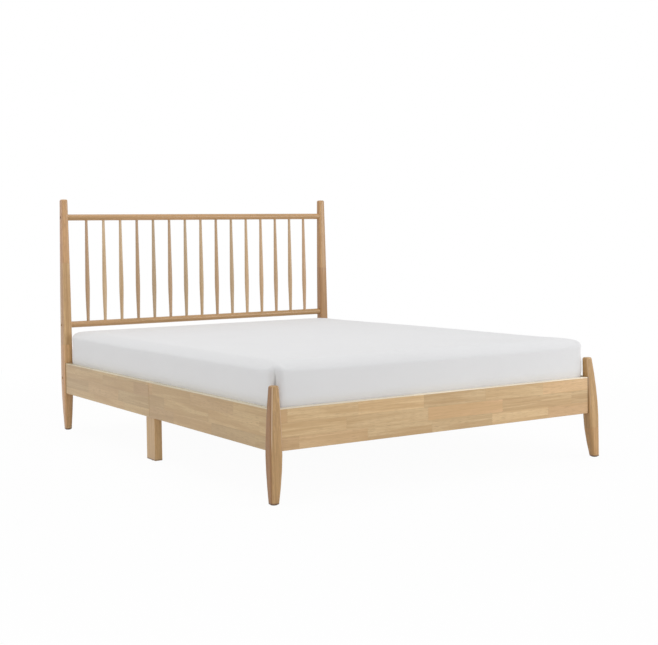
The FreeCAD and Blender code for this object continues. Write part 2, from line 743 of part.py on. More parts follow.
def make_fasteners():
    stud = cylinder("stud", "stud_diameter / 2", "stud_grip + pocket_setback + stud_tail")
    washer = stud_washer_master()
    nut = nut_master()
    bolt = bolt_master("headboard_bolt", "bolt_length")
    leg_bolt = bolt_master("leg_bolt", "leg_bolt_length")
    disc = cylinder("glide", "glide_radius", "glide_height")
    doc.recompute()
    upright = FreeCAD.Rotation()
    to_head = FreeCAD.Rotation(FreeCAD.Vector(1, 0, 0), -90)
    to_foot = FreeCAD.Rotation(FreeCAD.Vector(1, 0, 0), 90)
    to_right = FreeCAD.Rotation(FreeCAD.Vector(0, 1, 0), 90)
    to_left = FreeCAD.Rotation(FreeCAD.Vector(0, 1, 0), -90)
    # Studs run from the posts into the nut pockets at both ends of both side rails
    joints = []
    for x in ("-post_x", "post_x"):
        for share in STUD_SHARES:
            joints.append((x, f"rail_lift + rail_height * {share}"))
    studs = [((x, "rail_start - stud_grip", z), to_head) for x, z in joints]
    studs += [((x, "rail_end + stud_grip", z), to_foot) for x, z in joints]
    group("rail_studs", stud, studs)
    pockets = [((x, "rail_start + pocket_setback", z), to_head) for x, z in joints]
    pockets += [((x, "rail_end - pocket_setback", z), to_foot) for x, z in joints]
    group("crescent_washers", washer, pockets)
    group("stud_nuts", nut, pockets)
    bolts = [(("-head_x - bolt_head_stop", "head_y", z), to_right) for z in BOLT_HEIGHTS]
    bolts += [(("head_x + bolt_head_stop", "head_y", z), to_left) for z in BOLT_HEIGHTS]
    group("headboard_bolts", bolt, bolts)
    inside = "(rail_outer - mid_leg_inset - mid_leg_depth)"
    rows = [f"seam_y {sign} leg_bolt_offset" for sign in "-+"]
    leg_bolts = [((f"-{inside}", y, "leg_bolt_z"), to_left) for y in rows]
    leg_bolts += [((inside, y, "leg_bolt_z"), to_right) for y in rows]
    group("mid_leg_bolts", leg_bolt, leg_bolts)
    foot_x = "(post_x + foot_post_side / 2 - foot_post_foot_side / 2)"
    foot_y = "foot_y - foot_post_side / 2 + foot_post_foot_side / 2"
    leg_x = "(rail_outer - mid_leg_inset - mid_leg_depth / 2)"
    feet = [("0", "seam_y")]
    for sign in "-+":
        feet += [(sign + foot_x, foot_y), (sign + "head_x", "head_y"), (sign + leg_x, "seam_y")]
    group("floor_glides", disc, [((x, y, "0"), upright) for x, y in feet])


def write_sheet():
    for row, (name, value) in enumerate(SIZES.items(), 1):
        sheet.set(f"A{row}", name)
        sheet.set(f"B{row}", str(value))
        sheet.setAlias(f"B{row}", name)
    doc.recompute()


def check_model():
    """Stops with the names of what failed, so that no broken piece is written."""
    faults = [item.Label for item in doc.Objects if {"Invalid", "Error"} & set(item.State)]
    for item in parts:
        if item.Shape.isNull() or not item.Shape.isValid():
            faults.append(item.Label)
    for item in doc.Objects:
        if item.TypeId == "PartDesign::Pocket" and item.Shape.Volume >= item.BaseFeature.Shape.Volume:
            faults.append(item.Label)
    if faults:
        raise RuntimeError("failed pieces: " + ", ".join(faults))


def main():
    write_sheet()
    make_foot_post()
    make_head_post()
    make_footboard()
    make_headboard_panel()
    make_bar("headboard_top_bar", "top_bar_height", -1)
    make_bar("headboard_bottom_bar", "bottom_bar_height", 1)
    make_spindles()
    make_side_rails()
    make_mid_legs()
    make_cleats()
    make_slats()
    make_beam()
    make_hangers()
    make_centre_leg()
    make_mattress()
    make_fasteners()
    doc.recompute()
    check_model()
    os.makedirs("parts", exist_ok=True)
    for item in parts:
        item.Shape.exportStep(f"parts/{item.Label}.step")


main()
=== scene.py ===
import math

import bpy
import numpy as np
from bpy.props import FloatProperty, FloatVectorProperty, PointerProperty
from mathutils import Matrix, Vector


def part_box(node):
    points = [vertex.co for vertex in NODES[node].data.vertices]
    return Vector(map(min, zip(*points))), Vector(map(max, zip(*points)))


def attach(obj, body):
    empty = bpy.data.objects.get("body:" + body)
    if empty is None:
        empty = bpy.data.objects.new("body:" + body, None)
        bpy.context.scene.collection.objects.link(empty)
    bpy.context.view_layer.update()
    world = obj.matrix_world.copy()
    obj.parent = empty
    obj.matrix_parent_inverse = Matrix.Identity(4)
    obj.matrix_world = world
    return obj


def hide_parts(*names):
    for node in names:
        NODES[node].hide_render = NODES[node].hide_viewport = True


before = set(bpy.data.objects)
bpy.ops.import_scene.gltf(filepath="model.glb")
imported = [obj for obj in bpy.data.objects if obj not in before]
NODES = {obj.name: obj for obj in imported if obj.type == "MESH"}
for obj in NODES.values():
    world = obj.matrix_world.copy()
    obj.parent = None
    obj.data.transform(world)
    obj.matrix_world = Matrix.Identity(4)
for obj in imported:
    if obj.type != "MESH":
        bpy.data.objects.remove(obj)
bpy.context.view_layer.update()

# Places taken from the frame
MATTRESS_LOW, MATTRESS_HIGH = [np.array(highlit_corner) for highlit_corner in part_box("mattress")]
MATTRESS_MIDDLE = (MATTRESS_LOW + MATTRESS_HIGH) / 2
MATTRESS_HALF = (MATTRESS_HIGH - MATTRESS_LOW) / 2
RAIL_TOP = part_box("side_rail_left_foot")[1].z
POST_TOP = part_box("foot_post_left")[1].z
GLIDE_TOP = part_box("foot_post_left")[0].z

# Wood, in metres; a pair is where an effect begins to change and where the change is complete
HOUSING = 0.004             # depth of a head post's housing for the side rail
FINGER_PITCH = 0.0075       # from one tooth of a finger joint to the next
FINGER_LENGTH = 0.0055
GLUE_LINE = 0.0011          # from the middle of the line between two staves to its edge
JOINT_LINE = 0.0016         # the same for the line between two blocks
RIM_HIGHLIGHT = (0.002, 0.005)     # painted highlight, from an eased edge
END_SHADE = (0.001, 0.008)       # painted shade, from the end of a piece
HIGHLIGHT_HEIGHT = (0.17, 0.25)      # above the floor, where the painted highlight on an upright corner begins
ROW = 0.2                   # turned pieces in different rows differ in tone

# Wood, other values
NEUTRAL = (1.0, 1.0, 1.0)
WARM = (1.0, 0.985, 0.88)       # cast of the side rails and mid legs
OIL = {"Coat_Weight": 0.5, "Coat_Roughness": 0.11}
LANE_DRAW = 3.7             # keeps the draws for lanes apart from the draws for blocks
START_SPREAD = 9.0          # blocks by which the lanes may start apart
GRAIN_SPREAD = 60.0         # waves by which the grain of two blocks may lie apart
TURNED_SPREAD = 50.0        # the same for two turned pieces
RINGS = 9.0                 # growth rings from the lowest to the highest value of the noise

# Fabric, in metres
WARP, WEFT = 0.0018, 0.0022     # from one thread of the ribbon to the next, in both directions
TUCK_START = POST_TOP - 0.01    # where the crease at a corner begins to fade
CREASE_WIDTH = (0.0012, 0.006)  # crease drawn in the material as a bump with painted shade: least width, and growth down to the post
TUCK_WIDTH = (0.003, 0.004)     # pressed crease, in the same way
TUCK_INSET = (0.02, 0.05)       # how far from the corner the pressed crease fades out

# Where the fit of the mattress changes, in metres
BESIDE_POST = (0.03, 0.09)      # difference of the distances to the two sides that meet at a corner
PAST_POST = (-0.005, 0.02)      # above the foot posts' tops
NEAR_HEAD = (-0.06, -0.03)      # from the head end; towards the foot where negative
OVER_RAIL = (0.0, 0.032)        # above the rails
PARTING = RAIL_TOP + 0.02       # where the finer lower part of the grid ends

# Filling of the cover
FILL_PRESSURE = 4.0
FILL_QUALITY = 4
FILL_FRAMES = 20
FILL_CAP = 0.01             # metres
TIE = 0.8                   # weight of the ties in the middle of a panel
TIE_EDGE, TIE_FADE = 0.95, 0.2  # shares of the half side: where the ties end, and the band before it

# Stage, in metres; the sensor is in millimetres
FLOOR_HUB, FLOOR_REACH, FLOOR_DROP = 0.05, 60.0, 0.0006
FLOOR_SPOKES, FLOOR_RINGS = 96, 24
FLOOR_FADE = (1.8, 4.0)
FLOOR_GLOW = 0.965          # share of white that the camera sees at the bed
SENSOR = 36.0
WHITE = (1.0, 1.0, 1.0, 1.0)

bl_info = {
    "name": "Spindle-back bed",
    "version": (1, 0, 0),
    "blender": (4, 5, 0),
    "location": "View3D > Sidebar > Bed",
    "description": "Dresses a wooden bed with wood, steel and fabric finishes and a padded mattress",
    "category": "Object",
}


def linear(red, green, blue):
    """Turns 0 to 255 display values into the linear colour that a shader takes."""
    part = np.array([red, green, blue]) / 255.0
    return tuple(np.where(part <= 0.04045, part / 12.92, ((part + 0.055) / 1.055) ** 2.4))


def colour(name, words, red, green, blue):
    """A colour property with its default given in display values."""
    return FloatVectorProperty(name=name, description=words, subtype="COLOR", size=3,
                               min=0.0, max=1.0, default=linear(red, green, blue))


def size(name, words, metres):
    """A length property with its default in metres."""
    return FloatProperty(name=name, description=words, unit="LENGTH", default=metres, precision=4)


def power(name, words, watts):
    """A lamp's power property with its default in watts."""
    return FloatProperty(name=name, description=words, unit="POWER", default=watts)


class BoardWood(bpy.types.PropertyGroup):
    """Oiled staves of the rails, panels and mid legs, and turned wood of the spindles."""
    pale: colour("Pale", "Lightest tone between the grain streaks", 232, 200, 150)
    deep: colour("Deep", "Tone of the darker streaks", 203, 164, 112)
    blush: colour("Blush", "Redder tone that some staves have", 221, 178, 132)
    pore: colour("Pore", "Tone of the fine pores", 160, 122, 84)
    # painted highlight: the pale tone stands for light caught by the eased upper edges
    painted_highlight: colour("Rubbed", "Pale tone of the eased upper edges", 248, 238, 216)
    stave: size("Stave width", "Width of one glued strip of a board", 0.051)
    block: size("Block length", "Mean length of a strip between its finger joints", 0.36)


class PostWood(bpy.types.PropertyGroup):
    """Darker wood of the posts and bars."""
    pale: colour("Pale", "Lightest tone between the grain streaks", 223, 186, 126)
    deep: colour("Deep", "Tone of the darker streaks", 182, 140, 84)
    blush: colour("Blush", "Redder tone that some lengths have", 212, 162, 108)
    pore: colour("Pore", "Tone of the fine pores", 134, 94, 60)
    # painted highlight: the pale tone stands for light caught by the upright corners
    painted_highlight: colour("Rubbed", "Pale tone of the worn corners", 244, 214, 184)
    length: size("Length", "Mean length between two finger joints of a post", 0.42)


class BaseWood(bpy.types.PropertyGroup):
    """Plain softwood under the mattress."""
    pale: colour("Pale", "Tone of the early wood", 226, 203, 164)
    deep: colour("Deep", "Tone of the late wood", 197, 160, 112)


class Cover(bpy.types.PropertyGroup):
    """The mattress and its knitted cover."""
    tone: colour("Tone", "Colour of the knitted cover", 238, 238, 239)
    thread: size("Thread", "Distance between two rows of stitches", 0.0016)
    plan_round: size("Corner radius", "Radius of the upright corners", 0.036)
    top_round: size("Top edge radius", "Radius of the upper edge", 0.028)
    base_round: size("Lower edge radius", "Radius of the lower edge", 0.014)
    crown: size("Crown", "Rise of the top from its edge to its middle", 0.006)
    swell: size("Swell", "Room that the filled cover has to swell into", 0.001)
    snug: size("Snug", "How far the filled cover presses out beside the frame", 0.004)
    proud: size("Proud", "How far the filled cover may stand out over the frame", 0.0075)
    tuck: size("Tuck depth", "Depth of the crease at each upright corner", 0.004)
    tuck_reach: size("Tuck reach", "How far the crease runs up past the foot posts", 0.06)


class Metal(bpy.types.PropertyGroup):
    """Fasteners, hangers, glides and ribbons."""
    zinc: colour("Zinc", "Colour of the plated steel", 188, 190, 194)
    black: colour("Black steel", "Colour of the blackened steel", 42, 41, 40)
    glide: colour("Glide", "Colour of the plastic glides", 62, 54, 46)
    ribbon: colour("Ribbon", "Colour of the woven ribbons", 214, 208, 196)


class Stage(bpy.types.PropertyGroup):
    """Floor, light and camera."""
    floor: colour("Floor", "Colour of the floor", 240, 240, 240)
    sky: FloatProperty(name="Sky", description="Strength of the light from all round", default=0.6)
    key: power("Key", "Power of the large lamp in front", 70.0)
    top: power("Top", "Power of the lamp overhead", 56.0)
    side: power("Side", "Power of the lamp at the left", 17.0)
    lens: FloatProperty(name="Lens", description="Focal length in millimetres", default=63.45)
    shift: FloatVectorProperty(name="Shift", description="Shift of the frame", size=2,
                               default=(0.0912, -0.0912))
    stand: FloatVectorProperty(name="Stand", description="Where the camera stands", size=3, unit="LENGTH",
                               default=(-2.8938, -4.6021, 0.9342))
    aim: FloatVectorProperty(name="Aim", description="Turn, dip and tilt of the camera", size=3,
                             unit="ROTATION",
                             default=tuple(math.radians(a) for a in (30.5096, 0.9474, -1.0401)))


class BedSettings(bpy.types.PropertyGroup):
    """All settings of the bed."""
    boards: PointerProperty(type=BoardWood)
    posts: PointerProperty(type=PostWood)
    base: PointerProperty(type=BaseWood)
    cover: PointerProperty(type=Cover)
    metal: PointerProperty(type=Metal)
    stage: PointerProperty(type=Stage)


class Socket:
    """A shader socket that takes part in Python expressions; each operator adds one Math node."""

    def __init__(self, finish, socket):
        self.finish = finish
        self.socket = socket

    def out(self, name):
        """Another output of the same node."""
        return Socket(self.finish, self.socket.node.outputs[name])

    def math(self, operation, *values):
        return self.finish.node("ShaderNodeMath", {"operation": operation}, dict(enumerate(values)))

    def __add__(self, other):
        return self.math("ADD", self, other)

    def __radd__(self, other):
        return self.math("ADD", other, self)

    def __sub__(self, other):
        return self.math("SUBTRACT", self, other)

    def __rsub__(self, other):
        return self.math("SUBTRACT", other, self)

    def __mul__(self, other):
        return self.math("MULTIPLY", self, other)

    def __rmul__(self, other):
        return self.math("MULTIPLY", other, self)

    def __truediv__(self, other):
        return self.math("DIVIDE", self, other)

    def __rtruediv__(self, other):
        return self.math("DIVIDE", other, self)

    def __pow__(self, other):
        return self.math("POWER", self, other)

    def __rpow__(self, other):
        return self.math("POWER", other, self)

    def __abs__(self):
        return self.math("ABSOLUTE", self)

    def floor(self):
        return self.math("FLOOR", self)

    def fraction(self):
        return self.math("FRACT", self)

    def sine(self):
        return self.math("SINE", self)

    def larger(self, other):
        return self.math("MAXIMUM", self, other)

    def ramp(self, low, high):
        """0 below low, 1 above high, and a smooth step between."""
        return self.finish.node("ShaderNodeMapRange", {"interpolation_type": "SMOOTHSTEP"},
                                {0: self, 1: low, 2: high})


class Finish:
    """A material, or a world, whose nodes are written as expressions."""

    def __init__(self, name, store="materials"):
        self.owner = getattr(bpy.data, store).new(name)
        self.owner.use_nodes = True
        self.tree = self.owner.node_tree
        self.tree.nodes.clear()

    def node(self, kind, settings=None, sockets=None):
        """Adds one node, sets its settings, then gives its sockets their values or links."""
        made = self.tree.nodes.new(kind)
        for key, value in (settings or {}).items():
            setattr(made, key, value)
        for key, value in (sockets or {}).items():
            if isinstance(value, Socket):
                self.tree.links.new(value.socket, made.inputs[key])
            else:
                made.inputs[key].default_value = value
        shown = [s for s in made.outputs if s.enabled]
        return Socket(self, shown[0]) if shown else None

    def split(self, vector):
        """The three parts of a vector as separate values."""
        parts = self.node("ShaderNodeSeparateXYZ", None, {0: vector})
        return parts, parts.out("Y"), parts.out("Z")

    def vector(self, x, y, z):
        return self.node("ShaderNodeCombineXYZ", None, {0: x, 1: y, 2: z})

    def place(self):
        """The three object coordinates."""
        return self.split(self.node("ShaderNodeTexCoord").out("Object"))

    def place_by_grain(self, *axes):
        """The object coordinates of the named axes, then those of the other axes."""
        place = dict(zip("XYZ", self.place()))
        return [place.pop(axis) for axis in axes] + list(place.values())

    def facing(self):
        """The three parts of the direction that the surface faces."""
        return self.split(self.node("ShaderNodeNewGeometry").out("Normal"))

    def noise(self, place, waves, moved=(0.0, 0.0, 0.0), detail=2.0, roughness=0.5, distortion=0.0):
        """Smooth noise with so many waves to a metre along each coordinate, moved by so many waves."""
        scaled = [part * count for part, count in zip(place, waves)]
        scaled = [part + step if step else part for part, step in zip(scaled, moved)]
        return self.node("ShaderNodeTexNoise", None,
                         {"Vector": self.vector(*scaled), "Scale": 1.0, "Detail": detail,
                          "Roughness": roughness, "Distortion": distortion})

    def chance(self, x, y, z):
        """Three fixed random values for a cell."""
        cell = self.node("ShaderNodeTexWhiteNoise", {"noise_dimensions": "3D"},
                         {"Vector": self.vector(x, y, z)})
        return self.split(cell.out("Color"))

    @staticmethod
    def tint(value):
        """A colour in the form that a Mix node takes."""
        return value if isinstance(value, Socket) else (*value, 1.0)

    def mix(self, share, first, second):
        """Goes from the first colour to the second."""
        return self.node("ShaderNodeMix", {"data_type": "RGBA"},
                         {0: share, 6: self.tint(first), 7: self.tint(second)}).out(2)

    def lighten(self, share, dark, tone):
        """Goes from dark times a tone to the tone."""
        return self.mix(share, [dark * part for part in tone], tone)

    def shade(self, first, amount, cast=NEUTRAL):
        """A colour times a grey value that may have a cast."""
        light = self.vector(*[amount * part for part in cast])
        return self.node("ShaderNodeVectorMath", {"operation": "MULTIPLY"}, {0: first, 1: light})

    def seen(self):
        """1 on rays from the camera or from a mirror or glass, 0 on rays that carry light."""
        path = self.node("ShaderNodeLightPath")
        return path + path.out("Is Glossy Ray") + path.out("Is Transmission Ray")

    def bump(self, height, distance, strength, **sockets):
        """A normal tilted as if the surface rose by a height from 0 to 1 times the distance."""
        return self.node("ShaderNodeBump", None,
                         {"Height": height, "Distance": distance, "Strength": strength, **sockets})

    def principled(self, **sockets):
        """A Principled shader; underscores in names stand for spaces."""
        named = {key.replace("_", " "): value for key, value in sockets.items()}
        return self.node("ShaderNodeBsdfPrincipled", None, named)

    def surface(self, **sockets):
        """Closes the material with a Principled shader."""
        self.node("ShaderNodeOutputMaterial", None, {0: self.principled(**sockets)})
        return self.owner


def near(value, places, span):
    """1 close to any of the places, fading to 0 over the span of distances."""
    return sum(1.0 - abs(value - place).ramp(*span) for place in places)


def grain_tone(finish, wood, grain, redness):
    """The wood's deep tone where grain is 0; where it is 1, pale that turns to blush with redness."""
    return finish.mix(redness, finish.mix(grain, wood.deep, wood.pale),
                      finish.mix(grain, wood.deep, wood.blush))


def stave_wood(name, wood, along, across, lane, block, seed, spread=28.0, level=1.0, cast=NEUTRAL,
               highlight_rims=(), shaded_ends=(), flank_shade=None, corner_highlight=0.0):
    """Finger-jointed wood. The coordinate across the grain cuts the surface into lanes, and the coordinate
    along it cuts each lane into blocks with a zigzag edge; every block has its own tone and its own
    stretched noise for streaks and pores. A painted highlight lightens the eased edges at the rims and the
    upper part of the upright corners. Painted shade darkens the ends that meet another piece, and the
    flanks, which face along X."""
    finish = Finish(name)
    place = finish.place_by_grain(along, across)
    run, wide, _ = place
    lanes = wide / lane + seed
    number = lanes.floor()
    start, stretch, _ = finish.chance(number, seed, LANE_DRAW)
    zigzag = abs((wide / FINGER_PITCH).fraction() - 0.5) * (2 * FINGER_LENGTH / block)
    blocks = run / block * (0.8 + 0.45 * stretch) + start * START_SPREAD + zigzag
    tone, red, shift = finish.chance(number, blocks.floor(), seed)
    apart = shift * GRAIN_SPREAD
    figure = finish.noise(place, waves=(1.6, spread, spread), moved=(apart, apart, 0.0),
                          detail=3.0, roughness=0.55, distortion=0.9)
    streak = finish.noise(place, waves=(5.0, 230.0, 230.0), moved=(apart, 0.0, apart),
                          detail=3.0, roughness=0.62)
    fleck = finish.noise(place, waves=(26.0, 800.0, 800.0), moved=(0.0, apart, 0.0), detail=1.0)
    pores = fleck.ramp(0.55, 0.7) * (0.3 + 0.7 * figure.ramp(0.35, 0.65))
    grain = 0.6 * figure.ramp(0.38, 0.64) + 0.4 * streak.ramp(0.3, 0.7)
    base = grain_tone(finish, wood, grain, red.ramp(0.4, 1.0) * 0.8)
    base = finish.mix(pores * 0.55, base, wood.pore)
    # painted highlight along the eased edges at the rims
    if highlight_rims:
        base = finish.mix(near(wide, highlight_rims, RIM_HIGHLIGHT) * 0.85, base, wood.painted_highlight)
    side = abs(lanes.fraction() - 0.5).ramp(0.5 - GLUE_LINE / lane, 0.5)
    end = abs(blocks.fraction() - 0.5).ramp(0.5 - JOINT_LINE / block, 0.5)
    seam = side.larger(end)
    light = level * (0.88 + 0.2 * tone - 0.1 * seam)
    # painted shade where an end meets another piece
    if shaded_ends:
        dark = near(run, shaded_ends, END_SHADE)
        base = finish.mix(0.85 * dark, base, wood.pore)
        light = light * (1.0 - 0.25 * dark)
    # painted shade on the flanks, which face along X
    if flank_shade:
        x, y, _ = finish.facing()
        # painted highlight on the upper part of the upright corners
        if corner_highlight:
            highlit_corner = abs(x * y).ramp(0.4, 0.5) * run.ramp(*HIGHLIGHT_HEIGHT)
            base = finish.mix(corner_highlight * highlit_corner, base, wood.painted_highlight)
        aside = abs(x).ramp(0.6, 0.95)
        cast = [part * (1.0 - loss * aside) for part, loss in zip(cast, flank_shade)]
    height = 0.6 * streak + 0.4 * (1.0 - pores) - 0.4 * seam
    return finish.surface(Base_Color=finish.shade(base, light, cast),
                          Roughness=0.4 + 0.14 * streak + 0.08 * pores,
                          Normal=finish.bump(height, distance=0.00025, strength=0.5), **OIL)


def turned_wood(name, wood, along, pitch, seed, level, cast):
    """Wood of round bars or spindles in one length each: streaks run along them, and pieces one pitch or
    one row apart differ in tone."""
    finish = Finish(name)
    place = finish.place_by_grain(along)
    _, first, second = place
    tone, red, shift = finish.chance((first / pitch + 0.5).floor(), (second / ROW).floor(), seed)
    apart = shift * TURNED_SPREAD
    figure = finish.noise(place, waves=(2.2, 70.0, 70.0), moved=(apart, 0.0, apart),
                          detail=3.0, roughness=0.55, distortion=0.5)
    streak = finish.noise(place, waves=(9.0, 330.0, 330.0), moved=(apart, 0.0, 0.0),
                          detail=3.0, roughness=0.6)
    fleck = finish.noise(place, waves=(40.0, 900.0, 900.0), moved=(apart, 0.0, 0.0), detail=1.0)
    pores = fleck.ramp(0.62, 0.75)
    grain = 0.6 * figure.ramp(0.3, 0.7) + 0.4 * streak.ramp(0.25, 0.75)
    base = grain_tone(finish, wood, grain, red.ramp(0.3, 1.0))
    base = finish.mix(pores * 0.45, base, wood.pore)
    height = 0.6 * streak + 0.4 * (1.0 - pores)
    return finish.surface(Base_Color=finish.shade(base, level * (0.82 + 0.28 * tone), cast),
                          Roughness=0.4 + 0.14 * streak,
                          Normal=finish.bump(height, distance=0.0002, strength=0.5), **OIL)


def plain_wood(name, wood, along, seed):
    """Sawn softwood: rings are the fraction of a slow noise, drawn out along the grain."""
    finish = Finish(name)
    place = finish.place_by_grain(along)
    figure = finish.noise(place, waves=(0.9, 14.0, 14.0), moved=(seed, 0.0, 0.0),
                          detail=1.0, roughness=0.4, distortion=0.4)
    ring = abs((figure * RINGS).fraction() - 0.5).ramp(0.12, 0.5)
    streak = finish.noise(place, waves=(7.0, 260.0, 260.0), moved=(0.0, 0.0, seed),
                          detail=3.0, roughness=0.6)
    base = finish.mix(0.55 * ring + 0.35 * streak, wood.deep, wood.pale)
    return finish.surface(Base_Color=finish.shade(base, 0.9 + 0.12 * streak),
                          Roughness=0.55 + 0.15 * streak, Specular_IOR_Level=0.35,
                          Normal=finish.bump(0.5 * ring + streak, distance=0.0003, strength=0.4))


def brushed_steel(name, tone, metal, rough):
    """Steel with fine scratches and cloudy wear in its roughness."""
    finish = Finish(name)
    place = finish.place()
    cloud = finish.noise(place, waves=(90.0, 90.0, 90.0), detail=4.0, roughness=0.6)
    scratch = finish.noise(place, waves=(1500.0, 300.0, 1500.0))
    return finish.surface(Base_Color=finish.lighten(cloud, 0.8, tone), Metallic=metal,
                          Roughness=rough + 0.18 * cloud,
                          Normal=finish.bump(scratch, distance=0.00008, strength=0.4))


def moulded_plastic(name, tone):
    """Plastic with a fine pebbled skin."""
    finish = Finish(name)
    pebble = finish.noise(finish.place(), waves=(1400.0, 1400.0, 1400.0))
    return finish.surface(Base_Color=finish.lighten(pebble, 0.82, tone), Roughness=0.5 + 0.16 * pebble,
                          Normal=finish.bump(pebble, distance=0.0001, strength=0.5))


def woven_ribbon(name, tone):
    """Woven tape: two sets of threads cross, so the height is the product of two waves."""
    finish = Finish(name)
    x, y, _ = finish.place()
    weave = 0.5 + 0.5 * ((x * (math.tau / WARP)).sine() * (y * (math.tau / WEFT)).sine())
    return finish.surface(Base_Color=finish.lighten(weave, 0.78, tone), Roughness=0.85 + 0.1 * weave,
                          Normal=finish.bump(weave, distance=0.0003, strength=0.7),
                          Specular_IOR_Level=0.2)


def knitted_cover(name, cover):
    """Stretch knit: fine ribs across the cover, faint cloudy tone and a few soft folds. Each upright corner
    has a crease in its middle plane, which widens down to the post beside it; the crease is a bump and is
    darkened with painted shade."""
    finish = Finish(name)
    place = finish.place()
    x, y, z = place
    turn = math.tau / cover.thread
    rib = ((x + y + z) * turn).sine()
    cross = ((x - y + z * 0.5) * (turn * 0.7)).sine()
    knit = 0.5 + 0.25 * rib + 0.25 * cross
    cloud = finish.noise(place, waves=(5.0, 5.0, 9.0), detail=3.0)
    fold = finish.noise(place, waves=(2.2, 2.2, 6.0), moved=(cloud, 0.0, 0.0),
                        roughness=0.45, distortion=0.6)
    differ = MATTRESS_HALF[0] - MATTRESS_HALF[1]
    aside = abs(abs(x - MATTRESS_MIDDLE[0]) - abs(y - MATTRESS_MIDDLE[1]) - differ) / math.sqrt(2)
    fade = 1.0 - z.ramp(TUCK_START, POST_TOP + cover.tuck_reach)
    least, growth = CREASE_WIDTH
    crease = (1.0 - (aside / (least + growth * fade)).ramp(0.0, 1.0)) * fade ** 0.35
    base = finish.lighten(0.7 * cloud + 0.3 * knit, 0.955, cover.tone)
    fine = finish.bump(knit, distance=0.00025, strength=0.35)
    soft = finish.bump(fold - 1.2 * crease, distance=0.006, strength=0.35, Normal=fine)
    # painted shade in the crease
    return finish.surface(Base_Color=finish.shade(base, 1.0 - 0.4 * crease), Roughness=0.88 + 0.08 * knit,
                          Normal=soft, Specular_IOR_Level=0.2, Sheen_Weight=0.15, Sheen_Roughness=0.5)


def dress(material, *names):
    """Puts one material on CAD nodes."""
    for name in names:
        slots = NODES[name].data.materials
        slots.clear()
        slots.append(material)


def numbered(stem):
    """Names of the CAD nodes that are this stem and a number, in order."""
    return sorted(name for name in NODES if name.startswith(f"{stem}_") and name[len(stem) + 1:].isdigit())


def graded(low, high, edges, fine, coarse):
    """Grid values from low to high that stand close in both edge zones and wider between them."""
    inner_low, inner_high = low + edges[0], high - edges[1]
    steps = [np.linspace(low, inner_low, round(edges[0] / fine) + 1)]
    steps.append(np.linspace(inner_low, inner_high, round((inner_high - inner_low) / coarse) + 1)[1:])
    steps.append(np.linspace(inner_high, high, round(edges[1] / fine) + 1)[1:])
    return np.concatenate(steps)


def grid_quads(number, beyond):
    """Quads between the rows of a grid of point numbers and the rows beyond them."""
    return np.stack([number[:, :-1], beyond[:, :-1], beyond[:, 1:], number[:, 1:]], -1).reshape(-1, 4)


def box_grid(axes):
    """Points and quads of a box whose six sides are grids: side k has the other two coordinates as
    parameters. Points that meet at the box's edges are joined."""
    points, quads, count = [], [], 0
    for k in range(3):
        i, j = (k + 1) % 3, (k + 2) % 3
        first, second = np.meshgrid(axes[i], axes[j], indexing="ij")
        number = np.arange(first.size).reshape(first.shape)
        corners = grid_quads(number[:-1], number[1:])
        for level, faces in ((axes[k][-1], corners), (axes[k][0], corners[:, ::-1])):
            side = np.empty((first.size, 3))
            side[:, i], side[:, j], side[:, k] = first.ravel(), second.ravel(), level
            points.append(side)
            quads.append(faces + count)
            count += first.size
    points = np.concatenate(points)
    _, keep, joined = np.unique(np.round(points, 6), axis=0, return_index=True, return_inverse=True)
    return points[keep], joined.reshape(-1)[np.concatenate(quads)]


def square_to_round(across, up):
    """Turns a square corner zone into a quarter disc: a vector keeps its larger part as its length."""
    longest = np.maximum(np.abs(across), np.abs(up))
    length = np.hypot(across, up)
    return np.divide(longest, length, out=np.ones_like(length), where=length > 0)


def smooth_step(value, start, span):
    """0 before the span, 1 after it, and a smooth step between; the span is counted from start."""
    low, high = start + span[0], start + span[1]
    share = np.clip((value - low) / (high - low), 0, 1)
    return share * share * (3 - 2 * share)


def beside_post(flat, half, height):
    """1 on an upright corner below the foot posts' tops, 0 away from it or well above them."""
    aside = np.abs(np.abs(flat[:, 0]) - half[0] - np.abs(flat[:, 1]) + half[1])
    above = smooth_step(height, POST_TOP, PAST_POST)
    return (1 - smooth_step(aside, 0.0, BESIDE_POST)) * (1 - above)


def stand_out(flat, half, height, cover):
    """How far the filled cover may stand out past the CAD solid: a snug fit beside the frame, more over the
    rails and nothing at the head."""
    head = smooth_step(flat[:, 1], half[1], NEAR_HEAD)
    over = smooth_step(height, RAIL_TOP, OVER_RAIL)
    reach = cover.snug + (cover.proud - cover.snug) * over
    return reach * (1 - head)


